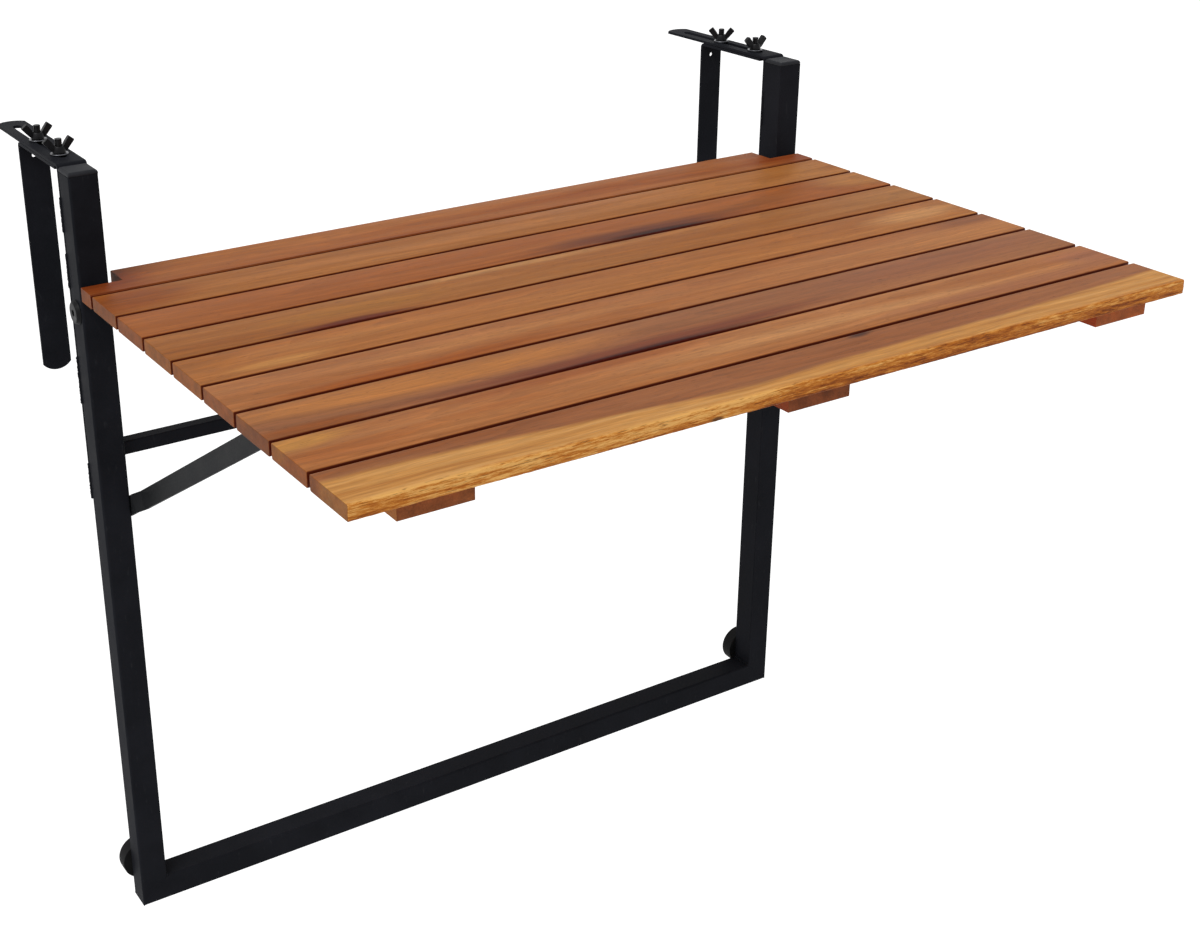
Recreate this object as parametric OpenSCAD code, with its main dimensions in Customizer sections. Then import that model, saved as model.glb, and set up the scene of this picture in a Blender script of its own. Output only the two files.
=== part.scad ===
// Folding balcony table that hangs on a railing.
// Nine wooden slats on three battens fold down in front of a welded steel frame.
// Origin: midpoint of the railing's top front edge. X runs along the slats,
// -Y is the side where people sit, +Y is over the railing, +Z is up.

/* [Tabletop] */
// Number of slats, from the railing to the front edge
slat_count = 9; // [7:1:11]
// Distance that a slat's end stands out past the frame's side
slat_over = 0; // [-1:0.5:1]
// Width of a slat
slat_w = 41.5; // [40:0.5:43]
// Thickness of a slat
slat_t = 9.5; // [9:0.1:10]
// Open gap between two slats
slat_gap = 3; // [2:0.25:4]
// Chamfer along the long edges of a slat
slat_chamfer = 0.8; // [0.4:0.1:1.5]
// Height of the railing's top above the top of the slats
top_drop = 72; // [60:1:85]
// Rear edge of the tabletop, in front of the railing's face
top_setback = 1; // [0.5:0.25:2]
// Gap between a post and the notch in the first slat, at the front of the post
notch_front_gap = 2.5; // [2:0.25:4]
// Gap between a post and the notch in the first slat, beside the post
notch_side_gap = 8.5; // [8:0.25:10]
// Width of a batten
batten_w = 45; // [40:1:48]
// Thickness of a batten
batten_t = 9.5; // [9:0.1:10]
// Gap between a post and the outer batten beside it
batten_side_gap = 9; // [9:0.25:10]
// Distance from a batten's front end to the front edge of the top
batten_front_in = 5.5; // [3:0.5:15]
// Distance from a batten's rear end to the railing's face
batten_rear_y = 26; // [25:0.5:30]

/* [Frame] */
// Overall width of the steel frame
frame_w = 600; // [540:1:660]
// Width of the square tube of the posts and the bottom bar
tube_w = 20; // [20:0.5:21]
// Wall of that tube
tube_wall = 1.5; // [1:0.1:2]
// Depth of the frame's underside below the railing's top
frame_drop = 565; // [550:1:650]
// Width of the square tube of the crossbar
cross_w = 10; // [8:0.5:10]
// Wall of the crossbar's tube
cross_wall = 1.2; // [0.8:0.1:1.5]
// Depth of the crossbar's top face below the railing's top
cross_drop = 191; // [180:1:195]
// Thickness of the head of a post cap
cap_t = 3; // [2:0.25:3]
// Chamfer round the head of a post cap
cap_chamfer = 1.2; // [0.5:0.1:1.5]
// Depth of a cap's plug inside the tube
cap_plug_l = 12; // [8:1:20]
// Play of the plug on each side, inside the tube
cap_plug_gap = 0.1; // [0.05:0.05:0.2]

/* [Hooks] */
// Width of the flat bar of the hooks and rail clamps
bar_w = 20; // [18:0.5:20]
// Thickness of that flat bar
bar_t = 2; // [2:0.25:3]
// Depth of the hook bar's lower end below the railing's top
hook_drop = 235; // [210:1:300]
// Chamfer on the corners of the hook bar's lower end
hook_chamfer = 5; // [2:0.5:6]
// Reach of the slotted arm behind the railing's face
arm_reach = 130; // [126:1:150]
// Front end of the slot, behind the railing's face
slot_front = 14; // [12:0.25:16]
// Rear end of the slot, behind the railing's face
slot_rear = 114.5; // [114:0.5:118]
// Width of the slot
slot_w = 5.6; // [5.4:0.1:6.5]
// Inside radius where the hook bar and the clamp bend
bend_r = 1.5; // [1:0.25:2]
// Radius of the domed ends of the arm and of the clamp
end_r = 13; // [11:0.5:16]

/* [Rail clamps] */
// Width of the widest railing at the narrowest setting
rail_gap = 78; // [77:0.5:84]
// Front end of the clamp's level leg, behind the railing's face
clamp_front = 4; // [3:0.25:6]
// Depth of the clamp's hanging leg below the railing's top
clamp_drop = 165; // [120:1:200]
// Centre of the front stud, behind the railing's face
stud_front = 22.5; // [22.5:0.25:24]
// Centre of the rear stud, behind the railing's face
stud_rear = 66; // [62:0.5:66]
// Running gap between the clamp and the arm, and under the washers
slide_gap = 0.2; // [0.1:0.05:0.3]
// Diameter of the locking screw's hole in the hanging leg
lock_hole_d = 3.5; // [3:0.25:6]
// Depth of that hole below the railing's top
lock_hole_drop = 8.5; // [8:0.5:20]

/* [Wing nuts] */
// Diameter of a stud
stud_d = 5; // [4.5:0.1:5]
// Height of a stud above its washer
stud_rise = 9.5; // [8:0.25:11]
// Diameter of a stud's flush head
stud_head_d = 8; // [7:0.25:10]
// Thickness of a stud's flush head
stud_head_t = 1.2; // [0.8:0.1:1.6]
// Diameter of a washer
washer_d = 12; // [10:0.5:14]
// Thickness of a washer
washer_t = 1; // [0.8:0.1:1.4]
// Width of a wing nut across its wings
wing_span = 21; // [19:0.5:24]
// Height of a wing nut
wing_h = 10.5; // [9:0.25:12]
// Thickness of a wing
wing_t = 2.4; // [2:0.1:3]
// Height of a wing's lower edge above the washer, at the hub
wing_root = 0.8; // [0.5:0.1:1.5]
// Height of a wing's outermost point above the washer
wing_tip_z = 7.6; // [6:0.1:8.5]
// Distance of a wing's highest point from its outer end
wing_crown_in = 2.6; // [1.5:0.1:3]
// Width of a wing at its tip
wing_tip_w = 4.6; // [3.5:0.1:5]
// Fall from a wing's highest point to the start of its inner edge
wing_fall = 1; // [0.5:0.1:1.5]
// Diameter of the foot of a wing nut
hub_d = 9; // [8:0.25:10]
// Diameter of the top of a wing nut's hub
hub_top_d = 7.6; // [7:0.1:8]
// Height of the hub of a wing nut
hub_h = 4.6; // [4:0.1:5.5]

/* [Bumper pads] */
// Diameter of a rubber bumper pad
pad_d = 32; // [26:1:38]
// Thickness of a bumper pad
pad_t = 12; // [8:0.5:20]
// Height of the pad's centre above the frame's underside
pad_rise = 27; // [20:0.5:60]
// Rounding of the pad's rim
pad_round = 2.5; // [1:0.25:3.5]
// Diameter of the pad's screw
pad_screw_d = 5; // [4:0.25:6]
// Diameter of the pad screw's head
pad_head_d = 9; // [8:0.25:11]
// Thickness of the pad screw's head
pad_head_t = 3; // [2:0.25:3.5]
// Depth of the recess for the pad screw's head
pad_recess = 5; // [4:0.25:6]
// Length of the pad screw below its head
pad_screw_l = 18; // [14:1:18]

/* [Folding hinge] */
// Depth of the hinge's axis below the railing's top
pivot_drop = 92.5; // [92.5:0.25:93.5]
// Diameter of a hinge bolt
pivot_d = 6; // [5:0.25:6.5]
// Diameter of the hinge bolt's flat domed head
pivot_head_d = 17; // [14:0.5:19]
// Thickness of the hinge bolt's head
pivot_head_t = 3; // [2:0.25:4]
// Width of the hinge bolt's socket, across its flats
pivot_key_w = 4; // [3:0.25:5]
// Thickness of the spacer washer between a post and its hinge bracket
spacer_t = 2.3; // [2.3:0.1:2.4]
// Diameter of that spacer washer
spacer_d = 14; // [12:0.5:15]
// Width of a lock nut across its flats
nut_w = 10; // [9:0.25:10]
// Thickness of the hinge bolt's lock nut
nut_t = 6; // [4:0.25:6]
// Thickness of the hinge bracket's steel
lug_t = 2.5; // [2:0.1:2.5]
// Radius of the bracket's ear round the hinge bolt
lug_r = 8.5; // [8:0.25:9]
// Gap between the slats and the upper edge of the bracket
lug_under = 3; // [2:0.25:4]
// Rear end of the bracket's foot, in front of the railing's face
foot_rear = 28; // [27:0.5:30]
// Length of the bracket's foot along the batten
foot_l = 34; // [32:1:34]
// Reach of the feet of the brackets and catches, from the batten's outer face
foot_reach = 35; // [32:0.5:40]
// Thickness of the feet
foot_t = 2; // [1.5:0.1:2]
// Running clearance of a bolt in its turning bore, on the radius
pivot_play = 0.05; // [0.02:0.01:0.1]
// Gap beside a turning part
side_gap = 0.2; // [0.15:0.05:0.3]

/* [Braces] */
// Width of the brace's flat bar
brace_w = 13.4; // [12:0.2:14]
// Thickness of the brace's flat bar
brace_t = 3; // [2.5:0.1:3]
// Depth of the brace's lower pivot below the railing's top
brace_low_drop = 240; // [225:1:245]
// Depth of the brace's upper pin below the underside of the battens
brace_pin_drop = 8; // [8:0.25:9]
// Distance of the brace's upper pin in front of the railing's face
brace_pin_y = 245; // [243:0.5:247]
// Gap between a post and the foot of its brace
brace_gap = 0.3; // [0.2:0.05:0.4]
// Sideways step of the brace, away from its post
brace_step = 4.3; // [4:0.1:4.4]
// Length of the straight foot of the brace, from its pivot
brace_foot_l = 17; // [12:1:24]
// Length over which the brace steps sideways
brace_step_l = 8; // [6:0.5:12]
// Diameter of the stud at the brace's lower pivot
brace_stud_d = 6; // [5:0.25:6.5]
// Thickness of the thin nut on that stud
brace_nut_t = 3.8; // [3:0.1:3.8]
// Diameter of the pin at the brace's upper end
brace_pin_d = 5; // [4.5:0.1:5]
// Length of that pin beside the brace
brace_pin_l = 6.5; // [5.5:0.25:8]
// Thickness of a brace catch
catch_t = 2; // [1.5:0.1:2]
// Gap between the batten's outer face and the catch's plate
catch_in = 0.5; // [0.5:0.1:1]
// Open clearance between the brace's pin and its seat in the catch
seat_gap = 1.6; // [1.6:0.1:1.8]
// Length of the seat's face below the line of the brace
seat_low = 1; // [0.8:0.1:1]
// Length of the seat's face above the line of the brace
seat_high = 4.2; // [3.8:0.1:4.2]
// Length of a catch along the batten
catch_l = 32; // [30:1:36]
// Depth of a catch below the batten
catch_h = 12; // [11:0.25:12]

/* [Screws] */
// Diameter of a wood screw
screw_d = 3.5; // [3:0.1:4]
// Length of a slat screw
slat_screw_l = 16; // [13:0.5:17]
// Diameter of a slat screw's countersunk head
screw_head_d = 7; // [6:0.25:8]
// Height of a slat screw's countersunk head
screw_head_t = 1.8; // [1.5:0.1:2.5]
// Length of a bracket screw's shank
bracket_screw_l = 11; // [9:0.25:11]
// Height of a bracket screw's round head
bracket_head_t = 2; // [1.5:0.1:2.4]
// Distance of the bracket screws from the batten's outer face
bracket_screw_in = 13; // [11:0.5:13]
// Distance between the two screws of a foot
bracket_screw_pitch = 20; // [18:0.5:22]

/* [Hidden] */
$fn = 48;
eps = 0.01;
cut = 1;

// Posts: the left post's outer face is at -frame_w / 2
post_x = -frame_w / 2 + tube_w / 2;
post_in = -frame_w / 2 + tube_w;
post_rear = -bar_t;
post_front = post_rear - tube_w;
post_mid = post_rear - tube_w / 2;

// Tabletop
top_z = -top_drop;
slat_l = frame_w + 2 * slat_over;
slat_low = top_z - slat_t;
batten_low = slat_low - batten_t;
slat_pitch = slat_w + slat_gap;
top_front = -top_setback - slat_count * slat_pitch + slat_gap;
batten_front = top_front + batten_front_in;
batten_out = post_in + batten_side_gap;
batten_x = -batten_out - batten_w / 2;
notch_y = post_front - notch_front_gap;
notch_x = post_in + notch_side_gap;

// Hooks and clamps
arm_low = bar_t + slide_gap;
arm_top = arm_low + bar_t;
washer_z = arm_top + slide_gap;
nut_z = washer_z + washer_t + slide_gap / 2;
stud_top = washer_z + washer_t + stud_rise;

// Hinge
pivot_z = -pivot_drop;
lug_x = post_in + spacer_t + side_gap;
pivot_nut_x = lug_x + lug_t + side_gap;
foot_low = batten_low - foot_t;
foot_in = batten_out + foot_reach;

// Braces: the bar's line runs from the stud up to the pin
pin_z = batten_low - brace_pin_drop;
pin_y = -brace_pin_y;
low_z = -brace_low_drop;
brace_dy = post_mid - pin_y;
brace_dz = pin_z - low_z;
brace_l = sqrt(brace_dy * brace_dy + brace_dz * brace_dz);
brace_angle = atan2(brace_dz, brace_dy);
brace_x = post_in + brace_gap;
brace_main_x = brace_x + brace_step;
catch_x = batten_out + catch_in;
screw_x = batten_out + bracket_screw_in;

function slat_rear(k) = -top_setback - (k - 1) * slat_pitch;
function slat_mid(k) = slat_rear(k) - slat_w / 2;
function slat_screw_y(k) = min(slat_mid(k), -batten_rear_y - screw_head_d - cut);

// A profile drawn with its sides along Y and Z, as long as w along X from x
module along_x(x, w) translate([x, 0, 0]) rotate([90, 0, 90]) linear_extrude(w) children();

// A cylinder along X that starts at x
module rod_x(x, l, d) translate([x, 0, 0]) rotate([0, 90, 0]) cylinder(h = l, d = d);

// A quarter of a bent bar, round the X axis, in the quarter where sy * Y and sz * Z are positive
module bent_quarter(w, r_in, t, sy, sz) intersection() {
    rotate([0, 90, 0]) difference() {
        cylinder(h = w, r = r_in + t, center = true);
        cylinder(h = w + 2 * cut, r = r_in, center = true);
    }
    translate([0, sy * (r_in + t), sz * (r_in + t)])
        cube([w + 2 * cut, 2 * (r_in + t), 2 * (r_in + t)], center = true);
}

// A strip of bar seen flat on, from y = 0 to y = l, with a domed far end
module domed_strip(l) intersection() {
    translate([-bar_w / 2, 0]) square([bar_w, l]);
    union() {
        translate([-bar_w / 2, 0]) square([bar_w, l - end_r]);
        translate([0, l - end_r]) circle(r = end_r);
    }
}

module hex(w, t) cylinder(h = t, d = w / cos(30), $fn = 6);

// Steel frame

// The left post: a square tube, cut at 45 degrees where it meets the bottom bar
module post() difference() {
    translate([post_x - tube_w / 2, post_front, -frame_drop]) cube([tube_w, tube_w, frame_drop]);
    translate([post_x - tube_w / 2 + tube_wall, post_front + tube_wall, -frame_drop - cut])
        cube([tube_w - 2 * tube_wall, tube_w - 2 * tube_wall, frame_drop + 2 * cut]);
    translate([-frame_w / 2, post_front - cut, -frame_drop]) rotate([0, -45, 0])
        translate([-cut, 0, -2 * tube_w]) cube([2 * tube_w, tube_w + 2 * cut, 2 * tube_w]);
    translate([0, post_mid, pivot_z]) rod_x(-frame_w / 2 - cut, tube_w + 2 * cut, pivot_d);
    translate([post_x, post_rear + cut, -frame_drop + pad_rise]) rotate([90, 0, 0])
        cylinder(h = tube_wall + 2 * cut, d = pad_screw_d);
}

module frame_bar() difference() {
    translate([-frame_w / 2, post_front, -frame_drop]) cube([frame_w, tube_w, tube_w]);
    translate([-frame_w / 2 - cut, post_front + tube_wall, -frame_drop + tube_wall])
        cube([frame_w + 2 * cut, tube_w - 2 * tube_wall, tube_w - 2 * tube_wall]);
    for (side = [0, 1]) mirror([side, 0, 0])
        translate([-frame_w / 2, post_front - cut, -frame_drop]) rotate([0, -45, 0])
            translate([-cut, 0, 0]) cube([2 * tube_w, tube_w + 2 * cut, 2 * tube_w]);
}

module cross_tube() difference() {
    translate([post_in, post_rear - cross_w, -cross_drop - cross_w])
        cube([-2 * post_in, cross_w, cross_w]);
    translate([post_in - cut, post_rear - cross_w + cross_wall, -cross_drop - cross_w + cross_wall])
        cube([-2 * post_in + 2 * cut, cross_w - 2 * cross_wall, cross_w - 2 * cross_wall]);
}

// Side view of a cap's head, with its two upper corners cut off
module cap_profile() polygon([[-tube_w / 2, 0], [tube_w / 2, 0], [tube_w / 2, cap_t - cap_chamfer],
    [tube_w / 2 - cap_chamfer, cap_t], [cap_chamfer - tube_w / 2, cap_t],
    [-tube_w / 2, cap_t - cap_chamfer]]);

module post_cap() translate([post_x, post_mid, 0]) {
    plug_w = tube_w - 2 * tube_wall - 2 * cap_plug_gap;
    intersection() {
        along_x(-tube_w / 2, tube_w) cap_profile();
        rotate([0, 0, 90]) along_x(-tube_w / 2, tube_w) cap_profile();
    }
    translate([-plug_w / 2, -plug_w / 2, -cap_plug_l]) cube([plug_w, plug_w, cap_plug_l + eps]);
}

// The left hook bar: flat bar up the back of the post, bent back into a slotted arm
module hook_bar() translate([post_x, 0, 0]) difference() {
    union() {
        translate([-bar_w / 2, -bar_t, -hook_drop + hook_chamfer])
            cube([bar_w, bar_t, hook_drop - hook_chamfer + arm_low - bend_r]);
        rotate([90, 0, 0]) linear_extrude(bar_t) polygon([[-bar_w / 2, hook_chamfer - hook_drop],
            [hook_chamfer - bar_w / 2, -hook_drop], [bar_w / 2 - hook_chamfer, -hook_drop],
            [bar_w / 2, hook_chamfer - hook_drop]]);
        translate([0, bend_r, arm_low - bend_r]) bent_quarter(bar_w, bend_r, bar_t, -1, 1);
        translate([0, bend_r, arm_low]) linear_extrude(bar_t) domed_strip(arm_reach - bend_r);
    }
    translate([-slot_w / 2, slot_front + slot_w / 2, 0])
        cube([slot_w, slot_rear - slot_front - slot_w, arm_top + cut]);
    for (y = [slot_front + slot_w / 2, slot_rear - slot_w / 2])
        translate([0, y, 0]) cylinder(h = arm_top + cut, d = slot_w);
}

// A bumper pad: a disc with a rounded rim and a recess for its screw
module bumper_pad() translate([post_x, post_rear, -frame_drop + pad_rise]) rotate([-90, 0, 0])
    difference() {
        union() {
            cylinder(h = pad_t - pad_round, d = pad_d);
            cylinder(h = pad_t, d = pad_d - 2 * pad_round);
            translate([0, 0, pad_t - pad_round]) rotate_extrude()
                translate([pad_d / 2 - pad_round, 0]) circle(r = pad_round, $fn = 32);
        }
        translate([0, 0, -cut]) cylinder(h = pad_t + 2 * cut, d = pad_screw_d);
        translate([0, 0, pad_t - pad_recess]) cylinder(h = pad_recess + cut, d = pad_head_d);
    }

module pad_screw() translate([post_x, post_rear + pad_t - pad_recess, -frame_drop + pad_rise])
    rotate([90, 0, 0]) {
        cylinder(h = pad_screw_l, d = pad_screw_d);
        translate([0, 0, -pad_head_t]) cylinder(h = pad_head_t, d = pad_head_d);
    }

// Folding hinge

module pivot_bolt() translate([0, post_mid, pivot_z]) difference() {
    union() {
        rod_x(-frame_w / 2, pivot_nut_x + nut_t + cut + frame_w / 2, pivot_d);
        translate([-frame_w / 2 - pivot_head_t, 0, 0]) rotate([0, 90, 0])
            cylinder(h = pivot_head_t, d1 = pivot_head_d - pivot_head_t, d2 = pivot_head_d);
    }
    translate([-frame_w / 2 - pivot_head_t - cut, 0, 0]) rotate([0, 90, 0])
        hex(pivot_key_w, pivot_head_t + cut);
}

module pivot_spacer() translate([0, post_mid, pivot_z]) difference() {
    rod_x(post_in, spacer_t, spacer_d);
    rod_x(post_in - cut, spacer_t + 2 * cut, pivot_d);
}

module pivot_nut() translate([0, post_mid, pivot_z]) difference() {
    translate([pivot_nut_x, 0, 0]) rotate([0, 90, 0]) hex(nut_w, nut_t);
    rod_x(pivot_nut_x - cut, nut_t + 2 * cut, pivot_d);
}

// The left hinge bracket: an ear for the bolt, welded to a foot under the batten
module hinge_bracket() difference() {
    union() {
        translate([0, post_mid, pivot_z]) rod_x(lug_x, lug_t, 2 * lug_r);
        along_x(lug_x, lug_t) polygon([[post_mid, pivot_z + lug_r], [-foot_rear, slat_low - lug_under],
            [-foot_rear - foot_l, slat_low - lug_under], [-foot_rear - foot_l, foot_low],
            [-foot_rear, foot_low], [post_mid, pivot_z - lug_r]]);
        translate([lug_x + lug_t - eps, -foot_rear - foot_l, foot_low])
            cube([foot_in - lug_x - lug_t, foot_l, foot_t]);
    }
    translate([0, post_mid, pivot_z]) rod_x(lug_x - cut, lug_t + 2 * cut, pivot_d + 2 * pivot_play);
    bracket_holes(hinge_screw_ys());
}

function screw_pair(y) = [y - bracket_screw_pitch / 2, y + bracket_screw_pitch / 2];
function hinge_screw_ys() = screw_pair(-foot_rear - foot_l / 2);
function catch_screw_ys() = screw_pair(pin_y);

module bracket_holes(ys) for (y = ys)
    translate([screw_x, y, foot_low - cut]) cylinder(h = foot_t + 2 * cut, d = screw_d);

module bracket_screw(y) translate([screw_x, y, foot_low]) {
    cylinder(h = bracket_screw_l, d = screw_d);
    translate([0, 0, -bracket_head_t])
        cylinder(h = bracket_head_t, d1 = screw_head_d - bracket_head_t, d2 = screw_head_d);
}

// Braces

// The seat's points are counted along the brace's line and square to it, from the pin
function seat_point(along, across) = [
    pin_y - along * cos(brace_angle) + across * sin(brace_angle),
    pin_z + along * sin(brace_angle) + across * cos(brace_angle)];

// The left catch: a bent plate under the batten. Its notch stops the brace's pin
module brace_catch() {
    seat = brace_pin_d / 2 + seat_gap;
    low = seat_point(seat, -seat_low);
    high = seat_point(seat, seat_high);
    difference() {
        union() {
            along_x(catch_x, catch_t) polygon([[pin_y - catch_l / 2, batten_low],
                [pin_y - catch_l / 2, low[1]], low, high,
                [high[0] + catch_h - (batten_low - high[1]), batten_low - catch_h],
                [pin_y + catch_l / 2, batten_low - catch_h], [pin_y + catch_l / 2, batten_low]]);
            translate([catch_x + catch_t - eps, pin_y - catch_l / 2, foot_low])
                cube([foot_in - catch_x - catch_t, catch_l, foot_t]);
        }
        bracket_holes(catch_screw_ys());
    }
}

// Plan of the brace along its line: a straight foot, a sideways step and the long bar
module brace_plan() {
    end = brace_w / 2;
    step_end = brace_foot_l + brace_step_l;
    polygon([[-end, 0], [brace_foot_l, 0], [step_end, brace_step], [brace_l + end, brace_step],
        [brace_l + end, brace_step + brace_t], [step_end, brace_step + brace_t],
        [brace_foot_l, brace_t], [-end, brace_t]]);
}

// The left brace, rounded at both ends, with a bore at the stud and one at the pin
module brace() translate([brace_x, post_mid, low_z]) rotate([-brace_angle, 0, 0])
    difference() {
        intersection() {
            translate([0, 0, -brace_w / 2]) linear_extrude(brace_w) rotate([0, 0, -90]) brace_plan();
            union() {
                translate([-cut, -brace_l, -brace_w / 2])
                    cube([brace_step + brace_t + 2 * cut, brace_l, brace_w]);
                for (y = [0, -brace_l])
                    translate([0, y, 0]) rod_x(-cut, brace_step + brace_t + 2 * cut, brace_w);
            }
        }
        rod_x(-cut, brace_t + 2 * cut, brace_stud_d + 2 * pivot_play);
        translate([0, -brace_l, 0])
            rod_x(brace_step - cut, brace_t + 2 * cut, brace_pin_d);
    }

module brace_pin() translate([0, pin_y, pin_z])
    rod_x(brace_main_x, brace_t + brace_pin_l, brace_pin_d);

module brace_stud() translate([0, post_mid, low_z])
    rod_x(post_in, 2 * brace_gap + brace_t + brace_nut_t + brace_gap, brace_stud_d);

module brace_nut() translate([0, post_mid, low_z]) difference() {
    translate([brace_x + brace_t + brace_gap, 0, 0]) rotate([0, 90, 0]) hex(nut_w, brace_nut_t);
    rod_x(brace_x, brace_t + brace_nut_t + cut, brace_stud_d);
}

// Rail clamps

// The left clamp: a level leg under the arm, bent down behind the railing
module rail_clamp() translate([post_x, 0, 0]) difference() {
    union() {
        translate([-bar_w / 2, clamp_front, 0]) cube([bar_w, rail_gap - bend_r - clamp_front, bar_t]);
        translate([0, rail_gap - bend_r, -bend_r]) bent_quarter(bar_w, bend_r, bar_t, 1, 1);
        translate([0, rail_gap + bar_t, -bend_r]) rotate([90, 0, 0]) linear_extrude(bar_t)
            mirror([0, 1]) domed_strip(clamp_drop - bend_r);
    }
    for (y = [stud_front, stud_rear]) translate([0, y, 0]) {
        translate([0, 0, -cut]) cylinder(h = bar_t + 2 * cut, d = stud_d);
        translate([0, 0, -cut]) cylinder(h = stud_head_t + cut, d = stud_head_d);
    }
    translate([0, rail_gap - cut, -lock_hole_drop]) rotate([-90, 0, 0])
        cylinder(h = bar_t + 2 * cut, d = lock_hole_d);
}

module clamp_stud(y) translate([post_x, y, 0]) {
    cylinder(h = stud_top, d = stud_d);
    cylinder(h = stud_head_t, d = stud_head_d);
}

module clamp_washer(y) translate([post_x, y, washer_z]) difference() {
    cylinder(h = washer_t, d = washer_d);
    translate([0, 0, -cut]) cylinder(h = washer_t + 2 * cut, d = stud_d);
}

// One wing, drawn outwards from the hub's axis and upwards
module wing_profile() polygon([[0, wing_root], [hub_d / 2, wing_root], [wing_span / 2, wing_tip_z],
    [wing_span / 2 - wing_crown_in, wing_h], [wing_span / 2 - wing_tip_w, wing_h - wing_fall],
    [hub_top_d / 2, hub_h], [0, hub_h]]);

module wing_nut(y, turn) translate([post_x, y, nut_z]) rotate([0, 0, turn]) difference() {
    union() {
        cylinder(h = hub_h, d1 = hub_d, d2 = hub_top_d);
        for (side = [0, 1]) mirror([side, 0, 0]) translate([0, wing_t / 2, 0]) rotate([90, 0, 0])
            linear_extrude(wing_t) wing_profile();
    }
    translate([0, 0, -cut]) cylinder(h = wing_h + 2 * cut, d = stud_d + 2 * pivot_play);
}

// Tabletop

// Blind holes for the screws that come up through the three battens
module screw_row(k) for (side = [-1, 0, 1])
    translate([side * batten_x, slat_screw_y(k), batten_low]) children();

module slat_profile(k) translate([slat_rear(k) - slat_w, slat_low]) polygon([
    [slat_chamfer, 0], [slat_w - slat_chamfer, 0], [slat_w, slat_chamfer],
    [slat_w, slat_t - slat_chamfer], [slat_w - slat_chamfer, slat_t], [slat_chamfer, slat_t],
    [0, slat_t - slat_chamfer], [0, slat_chamfer]]);

module slat(k) color(k % 2 == 0 ? "peru" : "sienna") difference() {
    along_x(-slat_l / 2, slat_l) slat_profile(k);
    screw_row(k) cylinder(h = slat_screw_l, d = screw_d);
    if (k == 1) for (side = [0, 1]) mirror([side, 0, 0])
        translate([-slat_l / 2 - cut, notch_y, slat_low - cut])
            cube([notch_x + slat_l / 2 + cut, -notch_y + cut, slat_t + 2 * cut]);
}

module batten(x) color("sienna") difference() {
    translate([x - batten_w / 2, batten_front, batten_low])
        cube([batten_w, -batten_rear_y - batten_front, batten_t]);
    for (k = [1 : slat_count]) translate([x, slat_screw_y(k), batten_low]) screw_cut();
    if (x != 0) mirror([x > 0 ? 1 : 0, 0, 0]) for (y = concat(hinge_screw_ys(), catch_screw_ys()))
        translate([screw_x, y, foot_low]) cylinder(h = bracket_screw_l, d = screw_d);
}

// The space that a countersunk screw fills, from the underside of a batten up
module screw_cut() {
    cylinder(h = slat_screw_l, d = screw_d);
    cylinder(h = screw_head_t, d1 = screw_head_d, d2 = screw_d);
}

module slat_1() slat(1);
module slat_2() slat(2);
module slat_3() slat(3);
module slat_4() slat(4);
module slat_5() slat(5);
module slat_6() slat(6);
module slat_7() slat(7);
module slat_8() slat(8);
module slat_9() slat(9);
module left_batten() batten(-batten_x);
module middle_batten() batten(0);
module right_batten() batten(batten_x);
module slat_screws() color("dimgray") for (k = [1 : slat_count]) screw_row(k) screw_cut();
module bracket_screws() color("dimgray") for (side = [0, 1]) mirror([side, 0, 0])
    for (y = concat(hinge_screw_ys(), catch_screw_ys())) bracket_screw(y);

// One module for each sub-part of the steel work: the right side mirrors the left

steel = "#1c1d20";
zinc = "#8a8d90";
module both() for (side = [0, 1]) mirror([side, 0, 0]) children();
module right() mirror([1, 0, 0]) children();

module left_post() color(steel) post();
module right_post() color(steel) right() post();
module bottom_bar() color(steel) frame_bar();
module crossbar() color(steel) cross_tube();
module left_post_cap() color("#3a3c42") post_cap();
module right_post_cap() color("#3a3c42") right() post_cap();
module left_hook_bar() color(steel) hook_bar();
module right_hook_bar() color(steel) right() hook_bar();
module left_bumper_pad() color("#161616") bumper_pad();
module right_bumper_pad() color("#161616") right() bumper_pad();
module pad_screws() color(zinc) both() pad_screw();
module left_pivot_bolt() color(steel) pivot_bolt();
module right_pivot_bolt() color(steel) right() pivot_bolt();
module pivot_spacers() color("#26272a") both() pivot_spacer();
module pivot_nuts() color(zinc) both() pivot_nut();
module brace_studs() color(steel) both() brace_stud();
module brace_nuts() color(zinc) both() brace_nut();
module left_rail_clamp() color(steel) rail_clamp();
module left_clamp_studs() color(steel) for (y = [stud_front, stud_rear]) clamp_stud(y);
module left_clamp_washers() color(steel) for (y = [stud_front, stud_rear]) clamp_washer(y);
module right_rail_clamp() color(steel) right() rail_clamp();
module right_clamp_studs() color(steel) right() for (y = [stud_front, stud_rear]) clamp_stud(y);
module right_clamp_washers() color(steel) right() for (y = [stud_front, stud_rear]) clamp_washer(y);
module left_front_wing_nut() color(steel) wing_nut(stud_front, 0);
module left_rear_wing_nut() color(steel) wing_nut(stud_rear, 0);
module right_front_wing_nut() color(steel) right() wing_nut(stud_front, 0);
module right_rear_wing_nut() color(steel) right() wing_nut(stud_rear, 40);
module left_hinge_bracket() color(steel) hinge_bracket();
module right_hinge_bracket() color(steel) right() hinge_bracket();
module left_brace_catch() color(steel) brace_catch();
module right_brace_catch() color(steel) right() brace_catch();
module left_brace() color("#3c3e41") brace();
module left_brace_pin() color(zinc) brace_pin();
module right_brace() color("#3c3e41") right() brace();
module right_brace_pin() color(zinc) right() brace_pin();

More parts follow.
